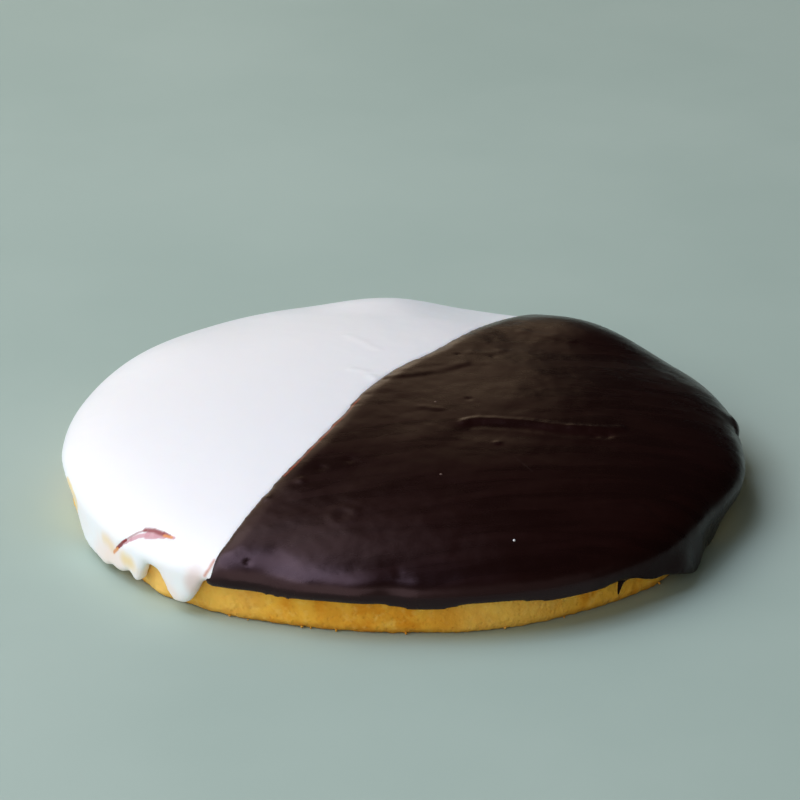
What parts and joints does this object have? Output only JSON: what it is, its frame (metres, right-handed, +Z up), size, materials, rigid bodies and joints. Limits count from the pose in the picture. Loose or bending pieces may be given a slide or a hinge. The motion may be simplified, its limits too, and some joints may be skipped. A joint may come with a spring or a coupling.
{
  "type": "black and white cookie",
  "caption": "Round domed cake cookie, iced half in white sugar icing and half in dark chocolate, with runs of icing down its golden side.",
  "frame": {"origin": "centre of the flat underside", "axes": "+Z up, the line between the two icings along Y, white icing towards -X and chocolate towards +X"},
  "size_m": [0.1154, 0.1144, 0.0195],
  "materials": {
    "cake": "golden baked cake, matt, fine crumb",
    "white_icing": "smooth set sugar icing, soft sheen",
    "chocolate_icing": "dark chocolate icing, satin gloss"
  },
  "bodies": {
    "root": {"cake": "cake", "white_icing": "white_icing", "chocolate_icing": "chocolate_icing"}
  },
  "joints": []
}
